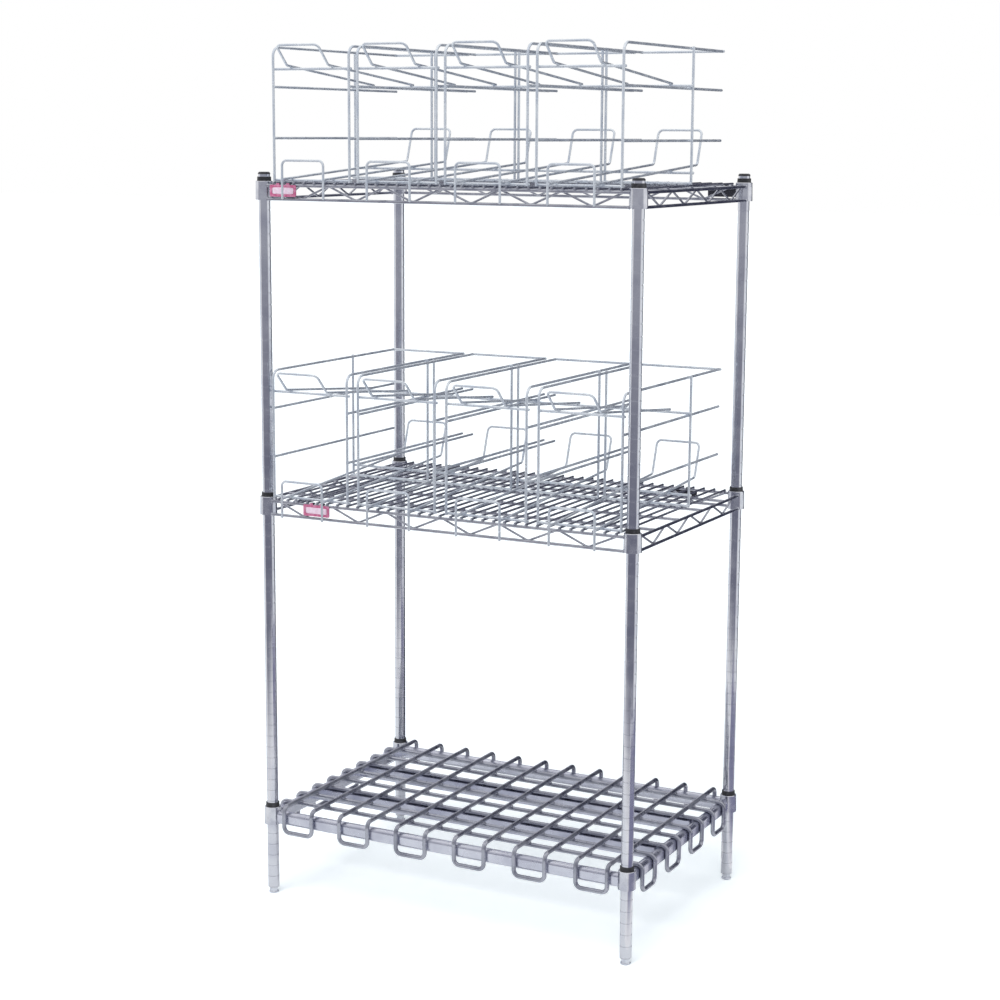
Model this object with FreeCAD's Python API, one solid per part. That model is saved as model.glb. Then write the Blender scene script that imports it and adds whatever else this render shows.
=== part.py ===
"""Can storage rack: four grooved posts, a loop shelf low down, two wire shelves and eight can lanes.

X runs along the rack, -Y is the front, +Z is up. All sizes are in millimetres. The pieces are made
round the middle of the shelves and then moved back, so that the origin is on the floor under the
middle of the whole rack.
"""
import FreeCAD
import Part
import math
import os

V = FreeCAD.Vector

# Shelf outline, over the corner collars
shelf_width = 914.4
shelf_depth = 609.6

# Posts
post_diameter = 25.4
post_wall = 1.5
post_length = 1600.0
groove_pitch = 25.4
groove_width = 2.6
groove_depth = 0.7
groove_end_margin = 12.0
cap_overhang = 0.5
cap_head = 5.0
cap_chamfer = 2.5
cap_plug = 18.0
plug_clearance = 0.1

# Levelling feet
foot_exposed = 16.0
foot_pad_diameter = 22.0
foot_pad_height = 4.0
foot_pad_chamfer = 1.0
foot_hex_flats = 17.0
foot_hex_gap = 0.5
foot_stem_diameter = 9.6
foot_stem_reach = 44.0
stem_clearance = 0.3
socket_depth = 30.0
socket_flange = 2.0

# Corner collars and the split sleeves inside them. The seat is how far a collar's top stands above the
# groove that its sleeve sits in.
collar_height = 40.0
collar_bottom_diameter = 38.0
collar_top_diameter = 36.4
collar_rim = 1.0
collar_clearance = 0.15
collar_seat = 11.0
sleeve_above_groove = 20.0
sleeve_below_groove = 27.0
sleeve_wall_top = 2.0
sleeve_taper = 0.035
sleeve_clearance = 0.15
sleeve_split = 1.2
bead_width = 2.0
bead_tip_width = 1.0
bead_height = 0.55

# Which post groove holds each shelf, counted from the floor end. The top shelf takes the last one
# that is this far below the post's upper end.
bottom_groove_count = 7
middle_groove_count = 35
top_groove_below_end = 22.0

# Welded wires stop this far from what they are welded to
weld_gap = 0.1

# Edges within this angle of an axis, in radians, run along it
parallel_angle = 0.01

# Bottom shelf: box rails, channels and loops of heavy wire
rail_width = 20.0
rail_height = 30.0
rail_wall = 2.0
rail_below_collar_top = 9.4
channel_width = 25.4
channel_height = 25.4
channel_wall = 2.0
channel_count = 2
wires_per_channel = 3
loop_wire = 9.525
loop_bend = 13.0
loop_drop = 58.0
cross_loop_count = 6
cross_loop_inset = 6.0
cross_loop_end_margin = 58.0
long_loop_count = 4
long_loop_inset = 8.0
long_loop_end_margin = 74.0

# Wire shelves
truss_rod = 6.35
truss_outset = 10.0
truss_spread = 29.0
snake_wire = 4.5
snake_half_wave = 66.0
snake_end_margin = 10.0
snake_bend = 14.0
mat_wire = 4.8
mat_pitch = 25.4
mat_below_collar_top = 1.0
mat_side_margin = 25.0
support_rod = 6.35

# Tags clipped on the front and back trusses
tag_width = 66.0
tag_height = 25.0
tag_plate = 1.8
tag_corner = 3.0
tag_clip_width = 8.0
tag_clip_play = 0.25

# Which mat wire each tag hangs at, counted from the left end as seen from the tag's own side
middle_tag_wire_count = 4
top_tag_wire_count = 1

# Can lanes: they share the shelf's width, and a can 178 mm long has 4 mm of play in each
lane_count = 4
lane_side_gap = 3.7
middle_lane_margin = 27.0
top_lane_margin = 41.0
lane_wire = 5.6
track_wire = 5.2
track_gauge = 102.0
lane_seat_gap = 0.3

# Lane places, measured back from the shelf's front edge
front_foot_place = 16.0
back_leg_place = 350.0
rail_end_place = 525.0

# Lane heights, measured up from the top of the mat
top_rail_height = 280.0
low_rail_height = 91.0
frame_bend = 20.0

# Upper track: slope down to the back, and the lip at its front
upper_front_height = 240.0
upper_slope = 5.4
upper_track_start = -2.0
upper_track_past_wire = 8.0
lip_rise = 40.0
lip_lean = 40.0
track_bend = 11.0

# Lower track: slope down to the front, the loop at its back and the stop at its front
lower_slope = 3.6
lower_track_back = 500.0
back_loop_rise = 74.0
back_loop_lean = 25.0
front_stop_place = -25.0
front_stop_top = 45.0
front_stop_drop = 35.0

# Sizes that follow from the ones above
post_radius = post_diameter / 2.0
post_bore = post_radius - post_wall
post_x = (shelf_width - collar_bottom_diameter) / 2.0
post_y = (shelf_depth - collar_bottom_diameter) / 2.0
post_bottom = foot_exposed
post_top = foot_exposed + post_length
front_edge = -shelf_depth / 2.0
loop_radius = loop_wire / 2.0
rail_corner = loop_bend - loop_radius
rod_radius = truss_rod / 2.0
snake_radius = snake_wire / 2.0
mat_radius = mat_wire / 2.0
support_radius = support_rod / 2.0
lane_radius = lane_wire / 2.0
track_radius = track_wire / 2.0
cross_loop_pitch = (shelf_width - 2.0 * cross_loop_end_margin) / (2 * cross_loop_count - 1)
long_loop_pitch = (shelf_depth - 2.0 * long_loop_end_margin) / (2 * long_loop_count - 1)
top_groove_count = int((post_length - top_groove_below_end) / groove_pitch)
mat_side_count = int((post_x - mat_side_margin) / mat_pitch)
middle_lane_pitch = (shelf_width - 2.0 * middle_lane_margin) / lane_count
top_lane_pitch = (shelf_width - 2.0 * top_lane_margin) / lane_count
back_leg_half = (top_lane_pitch - lane_side_gap) / 2.0 - lane_radius
lane_half = back_leg_half - lane_wire - weld_gap
gauge_half = track_gauge / 2.0
lip_overhang = lip_lean + track_radius - upper_track_start
origin_shift = V(0, lip_overhang / 2.0, 0)

corners = {
    "front_left": (-post_x, -post_y),
    "front_right": (post_x, -post_y),
    "back_left": (-post_x, post_y),
    "back_right": (post_x, post_y),
}


def groove_level(count):
    return post_bottom + count * groove_pitch


def collar_top(count):
    return groove_level(count) + collar_seat


def save(name, solids):
    shape = solids[0] if len(solids) == 1 else Part.makeCompound(solids)
    shape = shape.translated(origin_shift)
    count = len(shape.Solids)
    print(name, count, "solids", round(shape.Volume), "mm3", "valid" if shape.isValid() else "INVALID")
    shape.exportStep("parts/" + name + ".step")


def at_corners(solid):
    return [solid.translated(V(x, y, 0)) for x, y in corners.values()]


def revolved(points):
    """A solid of revolution about Z from (radius, height) points."""
    outline = [V(radius, 0, height) for radius, height in points]
    face = Part.Face(Part.makePolygon(outline + outline[:1]))
    return face.revolve(V(0, 0, 0), V(0, 0, 1), 360)


def rod(start, end, radius):
    """A straight round wire between two points."""
    along = end - start
    return Part.makeCylinder(radius, along.Length, start, along)


def bent_wire(points, bend, radius):
    """A round wire of straight runs joined by tangent arcs of one bend radius."""
    edges = []
    here = points[0]
    for before, corner, after in zip(points, points[1:], points[2:]):
        inward = (corner - before).normalize()
        outward = (after - corner).normalize()
        turn = inward.getAngle(outward)
        setback = bend * math.tan(turn / 2.0)
        arc_start = corner - inward * setback
        arc_end = corner + outward * setback
        to_centre = (outward - inward).normalize()
        arc_middle = corner + to_centre * (bend / math.cos(turn / 2.0) - bend)
        edges.append(Part.LineSegment(here, arc_start).toShape())
        edges.append(Part.Arc(arc_start, arc_middle, arc_end).toShape())
        here = arc_end
    edges.append(Part.LineSegment(here, points[-1]).toShape())
    section = Part.Circle(points[0], points[1] - points[0], radius).toShape()
    return Part.Wire(edges).makePipe(Part.Face(Part.Wire([section])))


def closed_loop(half_points, mirror_at, mirror_normal):
    """A closed ring of wire from one half of its path and that half's mirror image."""
    half = bent_wire(half_points, loop_bend, loop_radius)
    other = half.mirror(mirror_at, mirror_normal)
    return half.fuse(other).removeSplitter()


def make_post():
    """A tube with a groove at every step, from its lower end to its upper end."""
    points = [(post_bore, post_bottom), (post_radius, post_bottom)]
    groove_count = int((post_length - groove_end_margin) / groove_pitch)
    for count in range(1, groove_count + 1):
        level = groove_level(count)
        points.append((post_radius, level - groove_width / 2.0))
        points.append((post_radius - groove_depth, level - groove_width / 2.0 + groove_depth / 2.0))
        points.append((post_radius - groove_depth, level + groove_width / 2.0 - groove_depth / 2.0))
        points.append((post_radius, level + groove_width / 2.0))
    points += [(post_radius, post_top), (post_bore, post_top)]
    return revolved(points)


def make_cap():
    """A plug in the tube with a chamfered head on its rim."""
    head = post_radius + cap_overhang
    plug = post_bore - plug_clearance
    points = [
        (0, post_top - cap_plug),
        (plug, post_top - cap_plug),
        (plug, post_top),
        (head, post_top),
        (head, post_top + cap_head - cap_chamfer),
        (head - cap_chamfer, post_top + cap_head),
        (0, post_top + cap_head),
    ]
    return revolved(points)


def make_socket():
    """A flanged bush in the post's lower end, bored for the foot's stem."""
    bore = foot_stem_diameter / 2.0 + stem_clearance
    plug = post_bore - plug_clearance
    points = [
        (bore, post_bottom - socket_flange),
        (post_radius, post_bottom - socket_flange),
        (post_radius, post_bottom),
        (plug, post_bottom),
        (plug, post_bottom + socket_depth),
        (bore, post_bottom + socket_depth),
    ]
    return revolved(points)


def make_foot():
    """A pad with a chamfered edge, a hexagon above it and a stem up into the socket."""
    pad = foot_pad_diameter / 2.0
    pad_points = [
        (0, 0),
        (pad - foot_pad_chamfer, 0),
        (pad, foot_pad_chamfer),
        (pad, foot_pad_height - foot_pad_chamfer),
        (pad - foot_pad_chamfer, foot_pad_height),
        (0, foot_pad_height),
    ]
    hex_top = post_bottom - socket_flange - foot_hex_gap
    hex_radius = foot_hex_flats / math.sqrt(3.0)
    turns = [math.radians(60 * side) for side in range(6)]
    ring = [V(hex_radius * math.cos(a), hex_radius * math.sin(a), foot_pad_height) for a in turns]
    hexagon = Part.Face(Part.makePolygon(ring + ring[:1])).extrude(V(0, 0, hex_top - foot_pad_height))
    stem = Part.makeCylinder(foot_stem_diameter / 2.0, foot_stem_reach, V(0, 0, foot_pad_height))
    return revolved(pad_points).fuse([hexagon, stem]).removeSplitter()


def sleeve_outside(above_groove):
    """The sleeve's outer radius at a height above its groove: a cone that narrows upwards."""
    narrow = post_radius + sleeve_clearance + sleeve_wall_top
    return narrow + (sleeve_above_groove - above_groove) * sleeve_taper


def make_sleeve(groove):
    """Two half sleeves round a post, with a bead inside that sits in the post's groove."""
    bead = groove_level(groove)
    low = bead - sleeve_below_groove
    high = bead + sleeve_above_groove
    wide = sleeve_outside(-sleeve_below_groove)
    inside = post_radius + sleeve_clearance
    tip = inside - bead_height
    points = [
        (inside, low),
        (wide, low),
        (sleeve_outside(sleeve_above_groove), high),
        (inside, high),
        (inside, bead + bead_width / 2.0),
        (tip, bead + bead_tip_width / 2.0),
        (tip, bead - bead_tip_width / 2.0),
        (inside, bead - bead_width / 2.0),
    ]
    split_half = V(2.0 * wide, sleeve_split / 2.0, 0)
    split = box_between(V(0, 0, low) - split_half, V(0, 0, high) + split_half)
    return revolved(points).cut(split)


def make_collar(groove):
    """A tapered ring whose bore follows the sleeve's cone."""
    top = collar_top(groove)
    low = top - collar_height
    bore_low = sleeve_outside(low - groove_level(groove)) + collar_clearance
    bore_top = sleeve_outside(top - groove_level(groove)) + collar_clearance
    points = [
        (bore_low, low),
        (collar_bottom_diameter / 2.0, low),
        (collar_top_diameter / 2.0, top - collar_rim),
        (collar_top_diameter / 2.0 - collar_rim, top),
        (bore_top, top),
    ]
    return revolved(points)


def collar_clearances(groove):
    """The space of the four collars, with the weld gap, that rails and rods are cut back to."""
    top = collar_top(groove)
    wide = collar_bottom_diameter / 2.0 + weld_gap
    slim = collar_top_diameter / 2.0 + weld_gap
    height = collar_height - collar_rim
    cone = Part.makeCone(wide, slim, height, V(0, 0, top - collar_height))
    below = Part.makeCylinder(wide, collar_height, V(0, 0, top - 2.0 * collar_height))
    above = Part.makeCylinder(slim, collar_height, V(0, 0, top - collar_rim))
    return at_corners(below.fuse([cone, above]))


def box_between(low, high):
    size = high - low
    return Part.makeBox(size.x, size.y, size.z, low)


def rounded_box(low, high, axis, radius):
    """A box between two corners whose four edges along one axis are rounded."""
    box = box_between(low, high)
    edges = []
    for edge in box.Edges:
        if edge.tangentAt(edge.FirstParameter).isParallel(axis, parallel_angle):
            edges.append(edge)
    return box.makeFillet(radius, edges)


def box_tube(low, high, axis):
    """A rail between two corners, open at both ends along its axis, with rounded corners inside and out."""
    wall = (V(1, 1, 1) - axis) * rail_wall
    hollow = rounded_box(low + wall, high - wall, axis, rail_corner - rail_wall)
    return rounded_box(low, high, axis, rail_corner).cut(hollow)


def bottom_shelf():
    top = collar_top(bottom_groove_count) - rail_below_collar_top
    under = top - rail_height
    outer_x = shelf_width / 2.0 - long_loop_inset - loop_radius - weld_gap
    outer_y = shelf_depth / 2.0 - cross_loop_inset - loop_radius - weld_gap
    inner_x = outer_x - rail_width
    inner_y = outer_y - rail_width
    clearances = collar_clearances(bottom_groove_count)

    rails = []
    for side in (-1, 1):
        near_y, far_y = sorted((side * inner_y, side * outer_y))
        long_rail = box_tube(V(-post_x, near_y, under), V(post_x, far_y, top), V(1, 0, 0))
        near_x, far_x = sorted((side * inner_x, side * outer_x))
        side_rail = box_tube(V(near_x, -post_y, under), V(far_x, post_y, top), V(0, 1, 0))
        rails += [long_rail.cut(clearances), side_rail.cut(clearances)]
    save("bottom_frame_rails", rails)

    channels = []
    channel_pitch = wires_per_channel * long_loop_pitch
    for count in range(channel_count):
        y = (count - (channel_count - 1) / 2.0) * channel_pitch
        low = V(-inner_x, y - channel_width / 2.0, top - channel_height)
        high = V(inner_x, y + channel_width / 2.0, top)
        hollow_low = low + V(0, channel_wall, 0)
        hollow_high = high - V(0, channel_wall, channel_wall)
        channels.append(box_between(low, high).cut(box_between(hollow_low, hollow_high)))
    save("bottom_channels", channels)

    long_axis = top + loop_radius + weld_gap
    cross_axis = long_axis + loop_wire + weld_gap
    end_x = shelf_width / 2.0 - long_loop_inset
    end_y = shelf_depth / 2.0 - cross_loop_inset

    cross_loops = []
    for count in range(cross_loop_count):
        middle = (count - (cross_loop_count - 1) / 2.0) * 2.0 * cross_loop_pitch
        left = middle - cross_loop_pitch / 2.0
        half = [
            V(middle, -end_y, cross_axis - loop_drop),
            V(left, -end_y, cross_axis - loop_drop),
            V(left, -end_y, cross_axis),
            V(left, end_y, cross_axis),
            V(left, end_y, cross_axis - loop_drop),
            V(middle, end_y, cross_axis - loop_drop),
        ]
        cross_loops.append(closed_loop(half, V(middle, 0, 0), V(1, 0, 0)))
    save("bottom_cross_loops", cross_loops)

    long_loops = []
    for count in range(long_loop_count):
        middle = (count - (long_loop_count - 1) / 2.0) * 2.0 * long_loop_pitch
        near = middle - long_loop_pitch / 2.0
        half = [
            V(-end_x, middle, long_axis - loop_drop),
            V(-end_x, near, long_axis - loop_drop),
            V(-end_x, near, long_axis),
            V(end_x, near, long_axis),
            V(end_x, near, long_axis - loop_drop),
            V(end_x, middle, long_axis - loop_drop),
        ]
        long_loops.append(closed_loop(half, V(0, middle, 0), V(0, 1, 0)))
    save("bottom_long_loops", long_loops)
    save("bottom_collars", at_corners(make_collar(bottom_groove_count)))


def mat_top(groove):
    return collar_top(groove) - mat_below_collar_top


def top_rod_level(groove):
    return mat_top(groove) - mat_wire - rod_radius


def snake_steps(length):
    """How many half waves the snake wire makes between two posts, always even, and how long each is."""
    reach = length - collar_bottom_diameter - 2.0 * snake_end_margin
    count = 2 * round(reach / (2.0 * snake_half_wave))
    return count, reach / count


def make_truss(groove, start, end, inward):
    """Two rods between the collars with a snake wire welded to their inner side."""
    upper = top_rod_level(groove)
    lower = upper - truss_spread
    clearances = collar_clearances(groove)
    rods = []
    for level in (upper, lower):
        lift = V(0, 0, level)
        rods.append(rod(start + lift, end + lift, rod_radius).cut(clearances))

    inner = inward * (rod_radius + snake_radius + weld_gap)
    middle = (start + end) * 0.5 + inner
    along = (end - start).normalize()
    half_waves, step = snake_steps((end - start).Length)
    points = []
    for count in range(half_waves + 1):
        level = upper if count % 2 == 0 else lower
        points.append(middle + along * (step * (count - half_waves / 2.0)) + V(0, 0, level))
    return rods + [bent_wire(points, snake_bend, snake_radius)]


def make_tag(groove, wire):
    """A plain plate in front of the truss, hung on its top rod by two clips."""
    level = top_rod_level(groove)
    rod_y = -post_y - truss_outset
    front = rod_y - rod_radius - tag_clip_play - tag_plate
    back = rod_y + rod_radius + tag_clip_play
    middle_x = (wire - mat_side_count) * mat_pitch
    clip_top = level + rod_radius + tag_clip_play
    tail_low = level + snake_radius + weld_gap
    plate_top = clip_top - tag_plate
    plate_low = V(middle_x - tag_width / 2.0, front, plate_top - tag_height)
    plate_high = V(middle_x + tag_width / 2.0, front + tag_plate, plate_top)
    plate = rounded_box(plate_low, plate_high, V(0, 1, 0), tag_corner)
    clips = []
    for side in (-1, 1):
        left = middle_x + side * mat_pitch / 2.0 - tag_clip_width / 2.0
        right = left + tag_clip_width
        neck_low = V(left, front, plate_top - tag_corner)
        clips.append(box_between(neck_low, V(right, front + tag_plate, clip_top)))
        clips.append(box_between(V(left, front, clip_top), V(right, back + tag_plate, clip_top + tag_plate)))
        clips.append(box_between(V(left, back, tail_low), V(right, back + tag_plate, clip_top)))
    return plate.fuse(clips).removeSplitter()


def wire_shelf(name, groove, tag_wire):
    save(name + "_collars", at_corners(make_collar(groove)))
    rod_x = post_x + truss_outset
    rod_y = post_y + truss_outset
    save(name + "_front_truss", make_truss(groove, V(-post_x, -rod_y, 0), V(post_x, -rod_y, 0), V(0, 1, 0)))
    save(name + "_back_truss", make_truss(groove, V(-post_x, rod_y, 0), V(post_x, rod_y, 0), V(0, -1, 0)))
    save(name + "_left_truss", make_truss(groove, V(-rod_x, -post_y, 0), V(-rod_x, post_y, 0), V(1, 0, 0)))
    save(name + "_right_truss", make_truss(groove, V(rod_x, -post_y, 0), V(rod_x, post_y, 0), V(-1, 0, 0)))

    mat_axis = mat_top(groove) - mat_radius + weld_gap
    mat_reach = rod_y + rod_radius
    mat = []
    for count in range(-mat_side_count, mat_side_count + 1):
        x = count * mat_pitch
        mat.append(rod(V(x, -mat_reach, mat_axis), V(x, mat_reach, mat_axis), mat_radius))
    save(name + "_mat_wires", mat)

    support_axis = mat_top(groove) - mat_wire - support_radius
    support_reach = rod_x - rod_radius - weld_gap
    half_waves, step = snake_steps(2.0 * post_y)
    supports = []
    for low_point in range(1, half_waves, 2):
        y = step * (low_point - half_waves / 2.0)
        left = V(-support_reach, y, support_axis)
        right = V(support_reach, y, support_axis)
        supports.append(rod(left, right, support_radius))
    save(name + "_mat_supports", supports)
    front_tag = make_tag(groove, tag_wire)
    back_tag = front_tag.rotated(V(0, 0, 0), V(0, 0, 1), 180)
    save(name + "_tags", [front_tag, back_tag])


def cross_wire(middle_x, place, height, half_width):
    start = V(middle_x - half_width, place, height)
    end = V(middle_x + half_width, place, height)
    return rod(start, end, lane_radius)


def can_lane(name, groove, middle_x):
    """One lift-off can lane: two side frames, the cross wires between them and the two tracks."""
    floor = mat_top(groove) + weld_gap + lane_seat_gap
    front = front_edge
    front_wire_y = front + front_foot_place
    front_leg_y = front_wire_y - lane_wire - weld_gap
    back_leg_y = front + back_leg_place
    back_wire_y = back_leg_y - lane_wire - weld_gap
    behind_leg_y = back_leg_y + lane_wire + weld_gap
    rail_end_y = front + rail_end_place
    behind_rail_y = rail_end_y + lane_radius + weld_gap
    stack = lane_radius + track_radius + weld_gap

    foot_axis = floor + lane_radius
    lower_rise = math.tan(math.radians(lower_slope))
    upper_fall = math.tan(math.radians(upper_slope))
    lower_support = foot_axis + lower_rise * (behind_leg_y - front_wire_y)
    upper_front = floor + upper_front_height - stack
    upper_back = upper_front - upper_fall * (back_wire_y - front_wire_y)
    mid_rail = upper_back - lane_wire - weld_gap
    top_rail = floor + top_rail_height
    low_rail = floor + low_rail_height

    frames = []
    for side in (-1, 1):
        x = middle_x + side * lane_half
        leg_and_rail = [V(x, front_leg_y, floor), V(x, front_leg_y, top_rail), V(x, rail_end_y, top_rail)]
        frames.append(bent_wire(leg_and_rail, frame_bend, lane_radius))
        rail_start_y = front_leg_y + lane_radius + weld_gap
        for level in (mid_rail, low_rail):
            frames.append(rod(V(x, rail_start_y, level), V(x, rail_end_y, level), lane_radius))
        leg_x = middle_x + side * back_leg_half
        leg_low = V(leg_x, back_leg_y, floor)
        leg_high = V(leg_x, back_leg_y, top_rail + lane_radius)
        frames.append(rod(leg_low, leg_high, lane_radius))
    save(name + "_side_frames", frames)

    narrow = lane_half + lane_radius
    wide = back_leg_half + lane_radius
    wires = [
        cross_wire(middle_x, front_wire_y, foot_axis, narrow),
        cross_wire(middle_x, back_wire_y, foot_axis, wide),
        cross_wire(middle_x, behind_leg_y, lower_support, wide),
        cross_wire(middle_x, front_wire_y, upper_front, narrow),
        cross_wire(middle_x, back_wire_y, upper_back, wide),
        cross_wire(middle_x, behind_rail_y, top_rail, narrow),
    ]
    save(name + "_cross_wires", wires)

    upper_lift = stack / math.cos(math.radians(upper_slope))
    lower_lift = stack / math.cos(math.radians(lower_slope))

    def upper_track(y):
        return upper_front + upper_lift - upper_fall * (y - front_wire_y)

    def lower_track(y):
        return foot_axis + lower_lift + lower_rise * (y - front_wire_y)

    left = middle_x - gauge_half
    right = middle_x + gauge_half
    upper_start_y = front + upper_track_start
    upper_end_y = back_wire_y + upper_track_past_wire
    lip_y = upper_start_y - lip_lean
    lip_z = upper_track(upper_start_y) + lip_rise
    upper = bent_wire([
        V(left, upper_end_y, upper_track(upper_end_y)),
        V(left, upper_start_y, upper_track(upper_start_y)),
        V(left, lip_y, lip_z),
        V(right, lip_y, lip_z),
        V(right, upper_start_y, upper_track(upper_start_y)),
        V(right, upper_end_y, upper_track(upper_end_y)),
    ], track_bend, track_radius)

    stop_y = front + front_stop_place
    lower_start_y = stop_y + track_radius + track_radius * lower_rise + weld_gap
    lower_back_y = front + lower_track_back
    loop_y = lower_back_y + back_loop_lean
    loop_z = lower_track(lower_back_y) + back_loop_rise
    lower = bent_wire([
        V(left, lower_start_y, lower_track(lower_start_y)),
        V(left, lower_back_y, lower_track(lower_back_y)),
        V(left, loop_y, loop_z),
        V(right, loop_y, loop_z),
        V(right, lower_back_y, lower_track(lower_back_y)),
        V(right, lower_start_y, lower_track(lower_start_y)),
    ], track_bend, track_radius)

    stop = bent_wire([
        V(left, stop_y, floor - front_stop_drop),
        V(left, stop_y, floor + front_stop_top),
        V(right, stop_y, floor + front_stop_top),
        V(right, stop_y, floor - front_stop_drop),
    ], track_bend, track_radius)
    save(name + "_tracks", [upper, lower, stop])


def can_lanes(shelf_name, groove, pitch):
    for count in range(lane_count):
        middle_x = (count - (lane_count - 1) / 2.0) * pitch
        can_lane(shelf_name + "_lane_" + str(count + 1), groove, middle_x)


os.makedirs("parts", exist_ok=True)

post = make_post()
foot = make_foot()
for corner_name, (corner_x, corner_y) in corners.items():
    save("post_" + corner_name, [post.translated(V(corner_x, corner_y, 0))])
    save("foot_" + corner_name, [foot.translated(V(corner_x, corner_y, 0))])
save("post_caps", at_corners(make_cap()))
save("foot_sockets", at_corners(make_socket()))
shelf_grooves = {
    "bottom": bottom_groove_count,
    "middle": middle_groove_count,
    "top": top_groove_count,
}
for shelf, shelf_groove in shelf_grooves.items():
    halves = []
    for pair in at_corners(make_sleeve(shelf_groove)):
        halves += pair.Solids
    save(shelf + "_sleeves", halves)

bottom_shelf()
wire_shelf("middle", middle_groove_count, middle_tag_wire_count)
wire_shelf("top", top_groove_count, top_tag_wire_count)
can_lanes("middle", middle_groove_count, middle_lane_pitch)
can_lanes("top", top_groove_count, top_lane_pitch)
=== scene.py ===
import bpy
import math
import numpy as np
from mathutils import Matrix, Vector


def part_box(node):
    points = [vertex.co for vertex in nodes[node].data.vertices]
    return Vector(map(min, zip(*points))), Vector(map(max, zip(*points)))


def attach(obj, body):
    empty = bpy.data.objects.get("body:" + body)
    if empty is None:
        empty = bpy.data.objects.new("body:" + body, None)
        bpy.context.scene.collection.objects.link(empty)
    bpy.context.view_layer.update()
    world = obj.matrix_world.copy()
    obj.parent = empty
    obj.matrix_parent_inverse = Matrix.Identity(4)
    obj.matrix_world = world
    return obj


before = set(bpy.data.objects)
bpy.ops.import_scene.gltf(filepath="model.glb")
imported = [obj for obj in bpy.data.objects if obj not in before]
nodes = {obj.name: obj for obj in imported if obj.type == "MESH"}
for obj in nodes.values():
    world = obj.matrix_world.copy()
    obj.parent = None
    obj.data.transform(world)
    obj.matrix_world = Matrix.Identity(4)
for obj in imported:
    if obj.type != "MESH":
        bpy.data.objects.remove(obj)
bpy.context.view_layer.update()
scene = bpy.context.scene
scene.view_settings.view_transform = "Standard"
print("frame loaded:", len(nodes), "nodes")


# small helpers for node trees

def newMaterial(name):
    material = bpy.data.materials.new(name)
    material.use_nodes = True
    tree = material.node_tree
    return material, tree, tree.nodes["Principled BSDF"]


def addNode(tree, kind, **settings):
    node = tree.nodes.new(kind)
    for key, value in settings.items():
        setattr(node, key, value)
    return node


def noiseAt(tree, scale, detail=2.0, stretch=(1.0, 1.0, 1.0)):
    # noise on Object coordinates, in features per metre, drawn out or squeezed along each axis by stretch
    place = addNode(tree, "ShaderNodeTexCoord")
    mapping = addNode(tree, "ShaderNodeMapping")
    mapping.inputs["Scale"].default_value = stretch
    noise = addNode(tree, "ShaderNodeTexNoise")
    noise.inputs["Scale"].default_value = scale
    noise.inputs["Detail"].default_value = detail
    tree.links.new(place.outputs["Object"], mapping.inputs["Vector"])
    tree.links.new(mapping.outputs["Vector"], noise.inputs["Vector"])
    return noise.outputs["Fac"]


def spread(tree, source, low, high, toLow, toHigh):
    # the source's range low..high drawn out to toLow..toHigh
    node = addNode(tree, "ShaderNodeMapRange", interpolation_type="SMOOTHSTEP")
    node.inputs["From Min"].default_value = low
    node.inputs["From Max"].default_value = high
    node.inputs["To Min"].default_value = toLow
    node.inputs["To Max"].default_value = toHigh
    tree.links.new(source, node.inputs["Value"])
    return node.outputs["Result"]


def mixColours(tree, factor, first, second):
    node = addNode(tree, "ShaderNodeMix", data_type="RGBA")
    tree.links.new(factor, node.inputs["Factor"])
    for socket, colour in ((node.inputs["A"], first), (node.inputs["B"], second)):
        if isinstance(colour, tuple):
            socket.default_value = (*colour, 1.0)
        else:
            tree.links.new(colour, socket)
    return node.outputs["Result"]


def mathNode(tree, operation, first, second):
    node = addNode(tree, "ShaderNodeMath", operation=operation)
    for socket, value in zip(node.inputs, (first, second)):
        if isinstance(value, float):
            socket.default_value = value
        else:
            tree.links.new(value, socket)
    return node.outputs["Value"]


def bumpFrom(tree, shader, height, strength, distance):
    bump = addNode(tree, "ShaderNodeBump")
    bump.inputs["Strength"].default_value = strength
    bump.inputs["Distance"].default_value = distance
    tree.links.new(height, bump.inputs["Height"])
    tree.links.new(bump.outputs["Normal"], shader.inputs["Normal"])


def objectAxis(tree, axis):
    # one of the Object coordinates, in metres
    place = addNode(tree, "ShaderNodeTexCoord")
    split = addNode(tree, "ShaderNodeSeparateXYZ")
    tree.links.new(place.outputs["Object"], split.inputs["Vector"])
    return split.outputs[axis]


def seenRays(tree, inGloss):
    # 1 for rays from the camera and through glass, and for rays off gloss too if they are asked for
    path = addNode(tree, "ShaderNodeLightPath")
    seen = mathNode(tree, "MAXIMUM", path.outputs["Is Camera Ray"], path.outputs["Is Transmission Ray"])
    if inGloss:
        seen = mathNode(tree, "MAXIMUM", seen, path.outputs["Is Glossy Ray"])
    return seen


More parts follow.
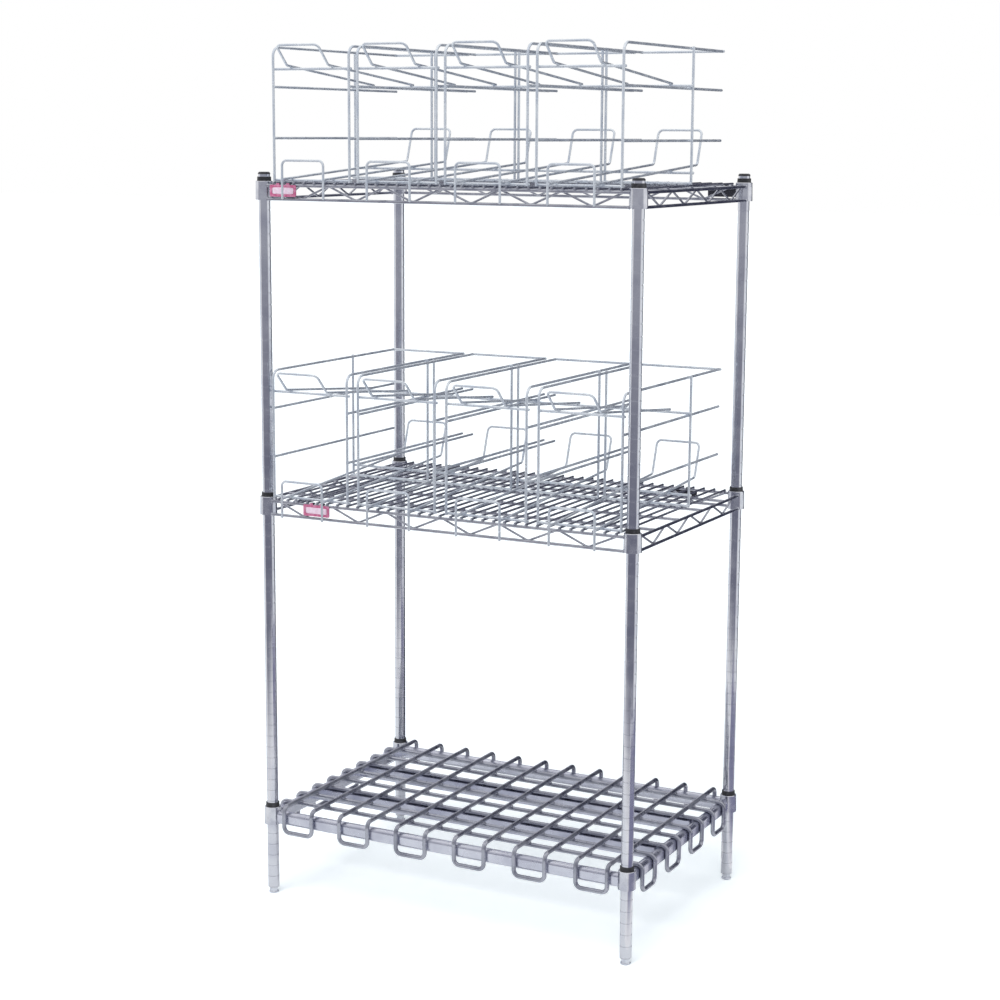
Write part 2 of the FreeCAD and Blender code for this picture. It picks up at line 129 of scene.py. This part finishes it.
# bright plate on wire and tube: clear patches and duller, bluer ones, with a fine pebbled skin
plateLook = {
    "lane": dict(clear=(0.75, 0.79, 0.84), dull=(0.60, 0.65, 0.73), metal=0.6, rough=(0.18, 0.34),
                 patch=22.0, skin=1400.0, bump=0.05),
    "shelf": dict(clear=(0.55, 0.56, 0.61), dull=(0.40, 0.41, 0.47), metal=1.0, rough=(0.12, 0.26),
                  patch=26.0, skin=1400.0, bump=0.05),
    "loop": dict(clear=(0.45, 0.46, 0.52), dull=(0.33, 0.34, 0.40), metal=1.0, rough=(0.24, 0.38),
                 patch=20.0, skin=1100.0, bump=0.06),
    "rail": dict(clear=(0.68, 0.69, 0.77), dull=(0.56, 0.57, 0.66), metal=1.0, rough=(0.20, 0.34),
                 patch=14.0, skin=900.0, bump=0.08),
    "channel": dict(clear=(0.52, 0.53, 0.62), dull=(0.38, 0.39, 0.49), metal=1.0, rough=(0.24, 0.40),
                    patch=14.0, skin=900.0, bump=0.08),
    "collar": dict(clear=(0.68, 0.69, 0.74), dull=(0.54, 0.55, 0.62), metal=1.0, rough=(0.14, 0.28),
                   patch=40.0, skin=1200.0, bump=0.06),
    "foot": dict(clear=(0.74, 0.76, 0.82), dull=(0.58, 0.60, 0.68), metal=1.0, rough=(0.18, 0.34),
                 patch=60.0, skin=1200.0, bump=0.08),
    "zinc": dict(clear=(0.62, 0.63, 0.66), dull=(0.48, 0.49, 0.53), metal=1.0, rough=(0.26, 0.42),
                 patch=70.0, skin=1000.0, bump=0.10),
    "post": dict(clear=(0.70, 0.71, 0.76), dull=(0.58, 0.59, 0.66), metal=1.0, rough=(0.10, 0.22),
                 patch=16.0, skin=1200.0, bump=0.05),
}

# how all plate is drawn: the ranges of noise that turn into patches, and the depth of the skin
plateGrain = dict(patchDetail=3.0, patchRange=(0.38, 0.68), roughFiner=1.7, roughDetail=4.0,
                  roughRange=(0.35, 0.7), skinDetail=2.0, skinDepth=0.0003)

# grooves of the posts: first height and pitch in metres, half widths as shares of the pitch, and the painted
# shade in them with its colour
postGrooves = dict(first=0.016, pitch=0.0254, core=0.035, half=0.07, grooveShade=0.08, colour=(0.30, 0.31, 0.36))


def plateMaterial(name, look, grooves=None):
    grain = plateGrain
    material, tree, shader = newMaterial(name)
    shader.inputs["Metallic"].default_value = look["metal"]
    patches = noiseAt(tree, look["patch"], grain["patchDetail"])
    factor = spread(tree, patches, *grain["patchRange"], 0.0, 1.0)
    colour = mixColours(tree, factor, look["clear"], look["dull"])
    dulling = noiseAt(tree, look["patch"] * grain["roughFiner"], grain["roughDetail"])
    rough = spread(tree, dulling, *grain["roughRange"], *look["rough"])
    if grooves:
        # how near the height is to a groove's middle: |fract((z - first) / pitch + 1/2) - 1/2|
        height = mathNode(tree, "SUBTRACT", objectAxis(tree, "Z"), grooves["first"])
        turns = mathNode(tree, "DIVIDE", height, grooves["pitch"])
        part = mathNode(tree, "FRACT", mathNode(tree, "ADD", turns, 0.5), 0.0)
        away = mathNode(tree, "ABSOLUTE", mathNode(tree, "SUBTRACT", part, 0.5), 0.0)
        # painted shade: each groove's middle is darkened towards the groove colour
        grooveShade = spread(tree, away, grooves["core"], grooves["half"], grooves["grooveShade"], 0.0)
        colour = mixColours(tree, grooveShade, colour, grooves["colour"])
    tree.links.new(colour, shader.inputs["Base Color"])
    tree.links.new(rough, shader.inputs["Roughness"])
    skin = noiseAt(tree, look["skin"], grain["skinDetail"])
    bumpFrom(tree, shader, skin, look["bump"], grain["skinDepth"])
    return material


# moulded black plastic: fine grain, rubbed paler here and there
blackLook = dict(
    deep=(0.018, 0.018, 0.022), rubbed=(0.06, 0.06, 0.07),
    patch=90.0, patchDetail=4.0, patchRange=(0.45, 0.75),
    rough=(0.38, 0.58), roughFiner=2.0, roughDetail=3.0, roughRange=(0.3, 0.7),
    grain=2600.0, grainDetail=2.0, bump=0.12, depth=0.0002,
)


def blackPlastic():
    look = blackLook
    material, tree, shader = newMaterial("blackPlastic")
    patches = noiseAt(tree, look["patch"], look["patchDetail"])
    factor = spread(tree, patches, *look["patchRange"], 0.0, 1.0)
    dulling = noiseAt(tree, look["patch"] * look["roughFiner"], look["roughDetail"])
    rough = spread(tree, dulling, *look["roughRange"], *look["rough"])
    tree.links.new(mixColours(tree, factor, look["deep"], look["rubbed"]), shader.inputs["Base Color"])
    tree.links.new(rough, shader.inputs["Roughness"])
    bumpFrom(tree, shader, noiseAt(tree, look["grain"], look["grainDetail"]), look["bump"], look["depth"])
    return material


# coloured plastic of the tags: mottled colour and a few fine scratches along the plate, on a dark back
tagLook = dict(strong=(0.52, 0.10, 0.23), faded=(0.68, 0.30, 0.45), rough=(0.2, 0.42),
               patch=120.0, scratch=260.0)
insertLook = dict(strong=(0.82, 0.60, 0.74), faded=(0.88, 0.75, 0.87), rough=(0.3, 0.5),
                  patch=140.0, scratch=300.0)
tagGrain = dict(patchDetail=4.0, patchRange=(0.35, 0.75), scratchDetail=3.0, scratchRange=(0.35, 0.7),
                stretch=(0.15, 1.0, 6.0), bump=0.06, depth=0.0003)
tagBack = dict(skin=0.0009, colour=(0.03, 0.03, 0.045))


def tagPlastic(name, look, back=None):
    grain = tagGrain
    material, tree, shader = newMaterial(name)
    patches = noiseAt(tree, look["patch"], grain["patchDetail"])
    factor = spread(tree, patches, *grain["patchRange"], 0.0, 1.0)
    colour = mixColours(tree, factor, look["strong"], look["faded"])
    if back:
        # the coloured skin is only the outermost part of each tag: |y - middle| > reach
        low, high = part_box("middle_tags")
        middle = (low.y + high.y) / 2.0
        reach = (high.y - low.y) / 2.0 - back["skin"]
        away = mathNode(tree, "ABSOLUTE", mathNode(tree, "SUBTRACT", objectAxis(tree, "Y"), middle), 0.0)
        outer = mathNode(tree, "GREATER_THAN", away, reach)
        colour = mixColours(tree, outer, back["colour"], colour)
    tree.links.new(colour, shader.inputs["Base Color"])
    lines = noiseAt(tree, look["scratch"], grain["scratchDetail"], grain["stretch"])
    tree.links.new(spread(tree, lines, *grain["scratchRange"], *look["rough"]), shader.inputs["Roughness"])
    bumpFrom(tree, shader, lines, grain["bump"], grain["depth"])
    return material


plates = {}
for name, look in plateLook.items():
    plates[name] = plateMaterial(name + "Plate", look, postGrooves if name == "post" else None)
black = blackPlastic()
tagRed = tagPlastic("tagRed", tagLook, tagBack)
tagPink = tagPlastic("tagPink", insertLook)


def finishOf(name):
    if name == "post_caps" or name.endswith("_sleeves"):
        return black
    if name == "foot_sockets":
        return plates["zinc"]
    if name.startswith("post_"):
        return plates["post"]
    if name.startswith("foot_"):
        return plates["foot"]
    if name.endswith("_tags"):
        return tagRed
    if "_lane_" in name:
        return plates["lane"]
    if name.endswith("_collars"):
        return plates["collar"]
    if name.endswith("_loops"):
        return plates["loop"]
    if name == "bottom_frame_rails":
        return plates["rail"]
    if name == "bottom_channels":
        return plates["channel"]
    return plates["shelf"]


for name, node in nodes.items():
    node.data.materials.clear()
    node.data.materials.append(finishOf(name))
print("finishes given to the nodes")


# faces and beads: small rounded lumps of weld and the rounded ends of cut wires

def gridFaces(rows, columns, closed=True):
    # quads between neighbouring rows of points; in a closed row the last point meets the first
    first = np.arange(columns if closed else columns - 1)
    following = (first + 1) % columns
    steps = np.arange(rows - 1)[:, None] * columns
    corners = [steps + first, steps + following, steps + columns + following, steps + columns + first]
    return np.stack(corners, -1).reshape(-1, 4)


def tubeFaces(rows, around):
    # closed rows one over the other, with a lid on the first and the last
    ring = np.arange(around)
    lids = [ring[::-1].tolist(), (ring + (rows - 1) * around).tolist()]
    return gridFaces(rows, around).tolist() + lids


def unitBead(around, down):
    # (sin t cos s, sin t sin s, cos t) for s round the bead and t from pole to pole
    s = np.arange(around) * 2.0 * np.pi / around
    t = np.linspace(0.0, np.pi, down + 1)[1:-1]
    s, t = np.meshgrid(s, t)
    rings = np.stack([np.sin(t) * np.cos(s), np.sin(t) * np.sin(s), np.cos(t)], -1).reshape(-1, 3)
    points = np.concatenate([[[0.0, 0.0, 1.0]], rings, [[0.0, 0.0, -1.0]]])
    # the rings go down, so their quads are turned round to face outwards
    quads = gridFaces(down - 1, around)[:, [0, 3, 2, 1]] + 1
    first = np.arange(around)
    following = (first + 1) % around
    last = len(points) - 1
    base = last - around
    top = np.stack([np.zeros_like(first), 1 + first, 1 + following], -1)
    bottom = np.stack([np.full_like(first, last), base + following, base + first], -1)
    return points, quads, np.concatenate([top, bottom])


def putMesh(name, points, faces, material, body):
    mesh = bpy.data.meshes.new(name)
    mesh.from_pydata(np.asarray(points).tolist(), [], faces)
    mesh.shade_smooth()
    mesh.materials.append(material)
    piece = bpy.data.objects.new(name, mesh)
    scene.collection.objects.link(piece)
    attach(piece, body)


beadGrid = dict(around=8, down=4)


def putBeads(name, centres, sizes, material, body):
    # every bead is the unit bead times its three half sizes, moved to its centre
    points, quads, ends = unitBead(**beadGrid)
    every = points[None] * sizes[:, None] + centres[:, None]
    start = (np.arange(len(centres)) * len(points))[:, None, None]
    faces = (quads[None] + start).reshape(-1, 4).tolist() + (ends[None] + start).reshape(-1, 3).tolist()
    putMesh(name, every.reshape(-1, 3), faces, material, body)


def everyPair(xs, ys, z):
    # all the points of a grid at one height
    x, y = np.meshgrid(xs, ys)
    return np.stack([x.ravel(), y.ravel(), np.full(x.size, z)], -1)


def sameSize(count, size):
    # the same three half sizes for every bead
    return np.tile(np.asarray(size, float), (count, 1))


# plan of the posts, from the frame, and the shelves' edges outside them
def middleOf(name):
    low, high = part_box(name)
    return (low + high) / 2.0


shelfCorner = 0.019   # from a post's middle to the shelf's edges
frontPost = middleOf("post_front_right")
backPost = middleOf("post_back_right")
postX = frontPost.x
postY = (backPost.y - frontPost.y) / 2.0
middleY = (backPost.y + frontPost.y) / 2.0


# welds of the two wire shelves, in metres: half a mat wire and half a rod, counts, half sizes of the beads,
# the height between the rods of a truss, how far inside them its snake wire bends, how far from the posts'
# middles the snakes and the rods end, and how far outside those middles the rods run
shelfWelds = dict(
    matWire=0.0024, rod=0.003175, matCount=33, supportCount=4, frontBends=13, sideBends=9,
    matBead=(0.0038, 0.0038, 0.0014), matEnd=(0.0023, 0.0012, 0.0023),
    snakeBead=(0.0055, 0.0012, 0.0022), collarBead=(0.0042, 0.0042, 0.0042),
    truss=0.029, snakeSag=0.0008, margin=0.029, collarReach=0.0152, outset=0.010,
)


def weldShelf(shelf):
    look = shelfWelds
    rod = look["rod"]
    matLow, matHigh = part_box(shelf + "_mat_wires")
    supportLow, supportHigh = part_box(shelf + "_mat_supports")
    frontLow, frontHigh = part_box(shelf + "_front_truss")
    _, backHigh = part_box(shelf + "_back_truss")
    leftLow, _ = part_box(shelf + "_left_truss")
    _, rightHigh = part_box(shelf + "_right_truss")
    upper = frontHigh.z - rod
    lower = upper - look["truss"]

    # mat wires: welded to every rod that they cross, and rounded at both ends
    wireXs = np.linspace(matLow.x + look["matWire"], matHigh.x - look["matWire"], look["matCount"])
    supportYs = np.linspace(supportLow.y + rod, supportHigh.y - rod, look["supportCount"])
    crossYs = np.concatenate([[frontLow.y + rod], supportYs, [backHigh.y - rod]])
    groups = [(everyPair(wireXs, crossYs, matLow.z), look["matBead"])]
    for y in (matLow.y, matHigh.y):
        groups.append((everyPair(wireXs, [y], matLow.z + look["matWire"]), look["matEnd"]))

    # snake wires: an even number of half waves between the posts, welded at every bend, up and down by turns
    bends = np.arange(max(look["frontBends"], look["sideBends"]))
    heights = np.where(bends % 2 == 0, upper - look["snakeSag"], lower + look["snakeSag"])
    along, across, tall = look["snakeBead"]
    xs = np.linspace(-1.0, 1.0, look["frontBends"]) * (postX - look["margin"])
    for y in (frontLow.y + 2.0 * rod, backHigh.y - 2.0 * rod):
        spots = np.stack([xs, np.full(len(xs), y), heights[:len(xs)]], -1)
        groups.append((spots, (along, across, tall)))
    ys = np.linspace(-1.0, 1.0, look["sideBends"]) * (postY - look["margin"]) + middleY
    for x in (leftLow.x + 2.0 * rod, rightHigh.x - 2.0 * rod):
        spots = np.stack([np.full(len(ys), x), ys, heights[:len(ys)]], -1)
        groups.append((spots, (across, along, tall)))

    # rods into the collars
    for side in (-1.0, 1.0):
        for end in (-1.0, 1.0):
            x = end * (postX - look["collarReach"])
            y = middleY + side * (postY + look["outset"])
            groups.append(([(x, y, upper), (x, y, lower)], look["collarBead"]))
            x = side * (postX + look["outset"])
            y = middleY + end * (postY - look["collarReach"])
            groups.append(([(x, y, upper), (x, y, lower)], look["collarBead"]))

    centres = np.concatenate([spots for spots, size in groups])
    sizes = np.concatenate([sameSize(len(spots), size) for spots, size in groups])
    putBeads(shelf + "ShelfWelds", centres, sizes, plates["shelf"], shelf + "_shelf")


for shelf in ("middle", "top"):
    weldShelf(shelf)
print("shelf welds done")


# welds of the bottom shelf: a bead at every crossing of the loops, which keep margins from the shelf's edges
loopWelds = dict(crossCount=12, longCount=8, crossMargin=0.058, longMargin=0.074,
                 bead=(0.0068, 0.0068, 0.0027))


def weldLoops():
    look = loopWelds
    _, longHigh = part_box("bottom_long_loops")
    xs = np.linspace(-1.0, 1.0, look["crossCount"]) * (postX + shelfCorner - look["crossMargin"])
    ys = np.linspace(-1.0, 1.0, look["longCount"]) * (postY + shelfCorner - look["longMargin"]) + middleY
    centres = everyPair(xs, ys, longHigh.z)
    sizes = sameSize(len(centres), look["bead"])
    putBeads("bottomLoopWelds", centres, sizes, plates["loop"], "bottom_shelf")


weldLoops()
print("bottom shelf welds done")


# one can lane, in millimetres: offsets from its middle, places from the shelf's front edge and heights over
# the lane's feet
laneShape = dict(
    track=51.0, frame=93.7, frameEnd=96.5, between=96.6, leg=99.4, legEnd=102.2,
    stop=-25.0, railStart=13.2, frontWire=16.0, backWire=344.3, backLeg=350.0, behindLeg=355.7,
    railEnd=525.0, behindRail=527.9, trackPast=8.0,
    stopEnd=-35.0, foot=2.8, stopWeld=5.9, lowerBack=24.2, lowRail=91.0, midRail=197.8, upperBack=203.5,
    upperEnd=208.2, upperFront=234.5, topRail=280.0, legTop=282.8,
    halfWire=2.8, halfTrack=2.6,
)

# half sizes of its welds and of the rounded tips of its wires, in millimetres
laneBead = dict(
    railOnLeg=(3.3, 2.0, 3.3), railOnBackLeg=(1.5, 3.6, 3.6),
    wireOnLeg=(3.4, 1.5, 3.2), lowWireOnLeg=(3.4, 1.5, 3.4),
    wireOnRail=(3.4, 3.4, 1.4), wireOnRailEnd=(3.4, 2.0, 3.4),
    trackOnWire=(3.6, 3.6, 1.4), stopOnTrack=(3.0, 1.8, 3.0),
    legTip=(2.7, 2.7, 1.2), railTip=(2.7, 1.2, 2.7), wireTip=(1.2, 2.7, 2.7), trackTip=(2.5, 1.1, 2.5),
    stopTip=(2.5, 2.5, 1.1),
)


def laneBeads(look):
    # one row for each bead of one side: offset, place, height and three half sizes
    over = look["halfWire"]
    rails = [look[key] for key in ("topRail", "midRail", "lowRail")]
    spots = [("frame", look["railStart"], height, "railOnLeg") for height in rails[1:]]
    spots += [("between", look["backLeg"], height, "railOnBackLeg") for height in rails]
    spots += [("frame", look["railStart"], look[key], "wireOnLeg") for key in ("foot", "upperFront")]
    spots += [("leg", look["backLeg"] - over, look[key], "wireOnLeg") for key in ("foot", "upperBack")]
    spots += [
        ("leg", look["backLeg"] + over, look["lowerBack"], "lowWireOnLeg"),
        ("frame", look["railEnd"], look["topRail"], "wireOnRailEnd"),
        ("frame", look["backWire"], look["midRail"] + over, "wireOnRail"),
        ("track", look["frontWire"], look["upperFront"] + over, "trackOnWire"),
        ("track", look["backWire"], look["upperBack"] + over, "trackOnWire"),
        ("track", look["frontWire"], look["foot"] + over, "trackOnWire"),
        ("track", look["behindLeg"], look["lowerBack"] + over, "trackOnWire"),
        ("track", look["stop"] + look["halfTrack"], look["stopWeld"], "stopOnTrack"),
        ("leg", look["backLeg"], look["legTop"], "legTip"),
        ("track", look["backWire"] + look["trackPast"], look["upperEnd"], "trackTip"),
        ("track", look["stop"], look["stopEnd"], "stopTip"),
    ]
    spots += [("frame", look["railEnd"], height, "railTip") for height in rails[1:]]
    frameEnds = (("frontWire", "foot"), ("frontWire", "upperFront"), ("behindRail", "topRail"))
    legEnds = (("backWire", "foot"), ("backWire", "upperBack"), ("behindLeg", "lowerBack"))
    spots += [("frameEnd", look[place], look[height], "wireTip") for place, height in frameEnds]
    spots += [("legEnd", look[place], look[height], "wireTip") for place, height in legEnds]
    rows = [(look[offset], place, height, *laneBead[kind]) for offset, place, height, kind in spots]
    return np.array(rows) / 1000.0   # to metres


def weldLane(lane):
    low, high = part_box(lane + "_side_frames")
    middleX = (low.x + high.x) / 2.0
    front = frontPost.y - shelfCorner
    beads = laneBeads(laneShape)
    sides = [beads[:, :3] * (side, 1.0, 1.0) + (middleX, front, low.z) for side in (-1.0, 1.0)]
    sizes = np.tile(beads[:, 3:], (len(sides), 1))
    putBeads(lane + "_welds", np.concatenate(sides), sizes, plates["lane"], lane)


for shelf in ("middle", "top"):
    for number in (1, 2, 3, 4):
        weldLane(f"{shelf}_lane_{number}")
print("lane welds done")


# screw thread on the stem of each foot
threadLook = dict(root=0.00482, crest=0.0002, pitch=0.0015, low=0.0136, high=0.0478, around=24, perTurn=8)


def cutThread(corner):
    # radius = root + crest (1 + cos(2 pi z / pitch - a)) / 2 over the angle a and the height z
    look = threadLook
    low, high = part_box("foot_" + corner)
    centre = (low + high) / 2.0
    rows = int((look["high"] - look["low"]) / look["pitch"] * look["perTurn"]) + 1
    a = np.arange(look["around"]) * 2.0 * np.pi / look["around"]
    z = np.linspace(look["low"], look["high"], rows)
    a, z = np.meshgrid(a, z)
    radius = look["root"] + look["crest"] * 0.5 * (1.0 + np.cos(2.0 * np.pi * z / look["pitch"] - a))
    points = np.stack([centre.x + radius * np.cos(a), centre.y + radius * np.sin(a), z], -1).reshape(-1, 3)
    faces = tubeFaces(rows, look["around"])
    putMesh("thread_" + corner, points, faces, plates["foot"], "foot_" + corner)


for corner in ("front_left", "front_right", "back_left", "back_right"):
    cutThread(corner)
print("foot threads done")


# plain raised insert on the face of each tag
insertShape = dict(tag=0.066, width=0.054, height=0.014, proud=0.0007, drop=0.0161, power=7.0, rimPower=6,
                   rows=10, around=64)


def tagInsert(shelf, side):
    # a flat pillow: x = w r c^(2/p) and z = h r s^(2/p), with c and s the cosine and sine round a ring, and r
    # from 1 at the rim to the middle; it stands proud by 1 - r^q; the one at the back is turned half round
    look = insertShape
    low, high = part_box(shelf + "_tags")
    level = high.z - look["drop"]
    aside = look["tag"] / 2.0
    middles = {"Front": (low.x + aside, low.y, level), "Back": (high.x - aside, high.y, level)}
    facing = {"Front": (1.0, 1.0, 1.0), "Back": (-1.0, -1.0, 1.0)}
    a = np.arange(look["around"]) * 2.0 * np.pi / look["around"]
    r = np.linspace(1.0, 0.0, look["rows"] + 1)[:-1]
    a, r = np.meshgrid(a, r)
    power = 2.0 / look["power"]
    x = np.sign(np.cos(a)) * np.abs(np.cos(a)) ** power * r * look["width"] / 2.0
    z = np.sign(np.sin(a)) * np.abs(np.sin(a)) ** power * r * look["height"] / 2.0
    y = -look["proud"] * (1.0 - r ** look["rimPower"])
    points = np.stack([x, y, z], -1).reshape(-1, 3) * facing[side] + middles[side]
    faces = tubeFaces(look["rows"], look["around"])
    putMesh(shelf + side + "TagInsert", points, faces, tagPink, shelf + "_shelf")


for shelf in ("middle", "top"):
    for side in ("Front", "Back"):
        tagInsert(shelf, side)
print("tag inserts done")


# floor: white paper that keeps the rack's faint shadow
floorLook = dict(size=40.0, colour=(0.88, 0.90, 0.92), glow=(0.34, 0.375, 0.39), rough=0.9)


def layFloor():
    size = floorLook["size"]
    corners = [(-size, -size, 0.0), (size, -size, 0.0), (size, size, 0.0), (-size, size, 0.0)]
    mesh = bpy.data.meshes.new("floor")
    mesh.from_pydata(corners, [], [(0, 1, 2, 3)])
    floor = bpy.data.objects.new("floor", mesh)
    scene.collection.objects.link(floor)
    material, tree, shader = newMaterial("floorPaper")
    shader.inputs["Base Color"].default_value = (*floorLook["colour"], 1.0)
    shader.inputs["Roughness"].default_value = floorLook["rough"]
    shader.inputs["Specular IOR Level"].default_value = 0.0
    shader.inputs["Emission Color"].default_value = (*floorLook["glow"], 1.0)
    tree.links.new(seenRays(tree, False), shader.inputs["Emission Strength"])
    mesh.materials.append(material)


layFloor()


# glowing cards round the white set, seen only in the plating, where they paint the reflections of a dark
# studio: each lies on the floor from near to far and then stands up from low to high, between two turns in
# degrees from the front towards +X; its painted reflection goes to white at its edges, over fade in degrees
# and paling in metres, and its tone goes from foot by waist to head; the side card has next to no wall
cardLook = {
    "cardFront": dict(near=1.1, far=6.0, low=0.004, middle=2.2, high=8.0,
                      start=-62.0, end=92.0, fade=16.0, paling=1.6,
                      foot=(0.21, 0.215, 0.27), waist=(0.56, 0.57, 0.61), head=(0.70, 0.70, 0.74)),
    "cardBack": dict(near=0.32, far=6.5, low=0.003, middle=2.4, high=6.0,
                     start=136.0, end=200.0, fade=6.0, paling=0.35,
                     foot=(0.05, 0.055, 0.09), waist=(0.06, 0.065, 0.10), head=(0.14, 0.14, 0.18)),
    "cardSide": dict(near=0.6, far=2.4, low=0.005, middle=0.006, high=0.007,
                     start=46.0, end=142.0, fade=12.0, paling=0.4,
                     foot=(0.26, 0.26, 0.38), waist=(0.26, 0.26, 0.38), head=(0.26, 0.26, 0.38)),
    "cardLeft": dict(near=6.6, far=6.6, low=1.2, middle=2.6, high=4.4,
                     start=196.0, end=244.0, fade=6.0, paling=0.8,
                     foot=(0.34, 0.35, 0.43), waist=(0.38, 0.39, 0.47), head=(0.46, 0.47, 0.55)),
}
cardGrid = dict(columns=65, floorRows=20, wallRows=20)


def smoothStep(value):
    value = np.clip(value, 0.0, 1.0)
    return value * value * (3.0 - 2.0 * value)


def hangCard(name, look):
    # (r sin a, -r cos a, z): a is the turn, and (r, z) goes out along the floor and then up the wall
    columns, floorRows, wallRows = cardGrid["columns"], cardGrid["floorRows"], cardGrid["wallRows"]
    a = np.linspace(look["start"], look["end"], columns)
    out = np.linspace(look["near"], look["far"], floorRows)
    rise = np.linspace(look["low"], look["high"], wallRows)
    r = np.concatenate([out, np.full(wallRows, look["far"])])
    z = np.concatenate([np.full(floorRows, look["low"]), rise])
    turn, r = np.meshgrid(np.radians(a), r)
    aside = np.minimum(a - look["start"], look["end"] - a) / look["fade"]
    aside, z = np.meshgrid(aside, z)
    points = np.stack([r * np.sin(turn), -r * np.cos(turn), z], -1).reshape(-1, 3)

    # tone of the painted reflection: white at the edges, also at the far one where there is next to no wall,
    # and up the wall from foot by waist to head
    weight = smoothStep(aside)
    if look["near"] < look["far"]:
        weight = weight * smoothStep((r - look["near"]) / look["paling"])
    else:
        weight = weight * smoothStep((z - look["low"]) / look["paling"])
    if look["high"] < look["paling"]:
        weight = weight * smoothStep((look["far"] - r) / look["paling"])
    levels = [look["low"], look["middle"], look["high"]]
    stops = zip(look["foot"], look["waist"], look["head"])
    wall = np.stack([np.interp(z, levels, stop) for stop in stops], -1)
    tone = 1.0 + (wall - 1.0) * weight[..., None]
    tone = np.concatenate([tone, np.ones_like(tone[..., :1])], -1)

    quads = gridFaces(floorRows + wallRows, columns, closed=False)
    mesh = bpy.data.meshes.new(name)
    mesh.from_pydata(points.tolist(), [], quads.tolist())
    mesh.attributes.new("tone", "FLOAT_COLOR", "POINT").data.foreach_set("color", tone.ravel())
    material, tree, shader = newMaterial(name + "Paint")
    paint = addNode(tree, "ShaderNodeAttribute", attribute_name="tone")
    # the tone glows as a painted reflection; the card is seen only in the plating
    tree.links.new(paint.outputs["Color"], shader.inputs["Emission Color"])
    shader.inputs["Emission Strength"].default_value = 1.0
    shader.inputs["Base Color"].default_value = (0.0, 0.0, 0.0, 1.0)
    shader.inputs["Specular IOR Level"].default_value = 0.0
    mesh.materials.append(material)
    card = bpy.data.objects.new(name, mesh)
    scene.collection.objects.link(card)
    card.visible_camera = False
    card.visible_diffuse = False
    card.visible_shadow = False
    card.visible_transmission = False


for name, look in cardLook.items():
    hangCard(name, look)


# white room and one broad lamp high above
roomLook = dict(fill=0.50, fillColour=(0.94, 0.97, 1.0))
lampLook = dict(towards=(0.0, 0.6, -1.0), strength=2.0, angle=40.0, colour=(1.0, 0.99, 0.97))


def lightRoom():
    world = bpy.data.worlds.new("room")
    scene.world = world
    world.use_nodes = True
    tree = world.node_tree
    tree.nodes.clear()
    white = addNode(tree, "ShaderNodeBackground")
    white.inputs["Color"].default_value = (1.0, 1.0, 1.0, 1.0)
    white.inputs["Strength"].default_value = 1.0
    fill = addNode(tree, "ShaderNodeBackground")
    fill.inputs["Color"].default_value = (*roomLook["fillColour"], 1.0)
    fill.inputs["Strength"].default_value = roomLook["fill"]
    mix = addNode(tree, "ShaderNodeMixShader")
    out = addNode(tree, "ShaderNodeOutputWorld")
    tree.links.new(seenRays(tree, True), mix.inputs["Fac"])
    tree.links.new(fill.outputs["Background"], mix.inputs[1])
    tree.links.new(white.outputs["Background"], mix.inputs[2])
    tree.links.new(mix.outputs["Shader"], out.inputs["Surface"])
    data = bpy.data.lights.new("broadLamp", "SUN")
    data.angle = math.radians(lampLook["angle"])
    data.energy = lampLook["strength"]
    data.color = lampLook["colour"]
    lamp = bpy.data.objects.new("broadLamp", data)
    scene.collection.objects.link(lamp)
    lamp.rotation_euler = Vector(lampLook["towards"]).to_track_quat("-Z", "Y").to_euler()
    lamp.visible_glossy = False


lightRoom()
print("stage and light done")


# camera at the photograph's place: yaw turns it right, pitch down, roll about its own axis, all in degrees;
# the focal length and the photograph's width are in pixels
cameraLook = dict(place=(2.0927, -4.0194, 1.7074), yaw=-27.51, pitch=10.054, roll=0.338,
                  focal=2074.5, photoWidth=1000.0, sensor=36.0, reach=200.0)


def setCamera():
    look = cameraLook
    yaw, pitch, roll = (math.radians(look[key]) for key in ("yaw", "pitch", "roll"))
    forward = Vector((math.sin(yaw) * math.cos(pitch), math.cos(yaw) * math.cos(pitch), -math.sin(pitch)))
    level = Vector((math.cos(yaw), -math.sin(yaw), 0.0))
    upright = level.cross(forward)
    right = level * math.cos(roll) + upright * math.sin(roll)
    up = upright * math.cos(roll) - level * math.sin(roll)
    data = bpy.data.cameras.new("camera")
    data.sensor_width = look["sensor"]
    data.lens = look["focal"] / look["photoWidth"] * data.sensor_width
    data.clip_end = look["reach"]
    camera = bpy.data.objects.new("camera", data)
    scene.collection.objects.link(camera)
    turn = Matrix((right, up, -forward)).transposed().to_4x4()
    camera.matrix_world = Matrix.Translation(look["place"]) @ turn
    scene.camera = camera


setCamera()
print("camera set")
